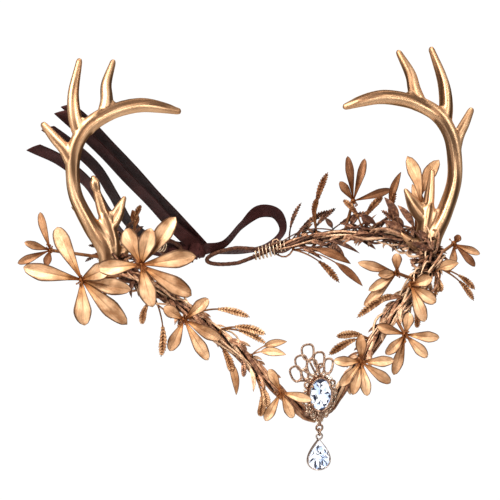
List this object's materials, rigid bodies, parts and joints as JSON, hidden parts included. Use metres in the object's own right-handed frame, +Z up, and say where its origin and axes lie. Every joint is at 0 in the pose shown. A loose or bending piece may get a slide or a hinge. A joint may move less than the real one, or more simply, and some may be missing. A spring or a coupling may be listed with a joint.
{
  "type": "antler crown",
  "caption": "Costume headpiece: gilt antlers on a V-fronted vine wreath with gilt flowers and sprigs, a pierced jewel with a swinging pear drop and a ribbon tied at the back.",
  "frame": {"origin": "middle of the head ring, level with the antlers' feet, where the crown sits on a head", "axes": "+X to the wearer's left, +Y to the back of the head, +Z up"},
  "size_m": [0.2878, 0.2323, 0.2202],
  "materials": {
    "gilt_antler": "satin antique gold paint",
    "gilt_leaf": "gold-sprayed cloth leaf with bronze veins",
    "vine": "bronze-sprayed wrapped stems",
    "tape": "brown florist's tape",
    "gold_wire": "pale gold plate",
    "satin": "dark brown satin ribbon",
    "crystal": "clear cut crystal"
  },
  "bodies": {
    "crown": {"vine_left": "vine", "vine_right": "vine", "end_loop_left": "tape", "end_loop_right": "tape", "binding_left": "gold_wire", "binding_right": "gold_wire", "antler_left": "gilt_antler", "antler_right": "gilt_antler", "setting": "gold_wire", "oval_stone": "crystal", "ribbon_knot": "satin", "ribbon_strap": "satin", "ribbon_bow": "satin", "ribbon_tail_one": "satin", "ribbon_tail_two": "satin", "ribbon_tail_three": "satin", "ribbon_tail_four": "satin", "flower_left_large": "gilt_leaf", "flower_left_front": "gilt_leaf", "flower_left_outer": "gilt_leaf", "flower_left_lower": "gilt_leaf", "flower_jewel_left": "gilt_leaf", "flower_jewel_right": "gilt_leaf", "flower_right_lower": "gilt_leaf", "flower_right_inner": "gilt_leaf", "flower_right_middle": "gilt_leaf", "flower_right_outer": "gilt_leaf", "flower_back": "gilt_leaf", "sprig_left_inner_high": "gilt_leaf", "sprig_left_inner_middle": "gilt_leaf", "sprig_left_inner_low": "gilt_leaf", "sprig_left_under_high": "gilt_leaf", "sprig_left_under_middle": "gilt_leaf", "sprig_left_under_low": "gilt_leaf", "sprig_right_inner_high": "gilt_leaf", "sprig_right_inner_low": "gilt_leaf", "sprig_right_under": "gilt_leaf", "sprig_right_leaf": "gilt_leaf", "sprig_right_hanging": "gilt_leaf", "sprig_right_foot": "gilt_leaf", "sprig_right_behind": "gilt_leaf", "sprig_back_right": "gilt_leaf", "sprig_back_middle": "gilt_leaf", "sprig_back_high": "gilt_leaf", "sprig_back_hanging": "gilt_leaf", "sprig_left_back": "gilt_leaf", "sprig_left_rear": "gilt_leaf"},
    "jump_ring": {"jump_ring": "gold_wire"},
    "drop": {"drop_bezel": "gold_wire", "drop_stone": "crystal"}
  },
  "joints": [
    {"name": "ring_swing", "type": "hinge", "parent": "crown", "child": "jump_ring", "pos_m": [-0.0027, -0.1046, -0.0826], "axis": [1, 0, 0], "range_deg": [-70, 45]},
    {"name": "drop_sway", "type": "hinge", "parent": "jump_ring", "child": "drop", "pos_m": [-0.0027, -0.1046, -0.08515], "axis": [0, 1, 0], "range_deg": [-35, 35]}
  ]
}
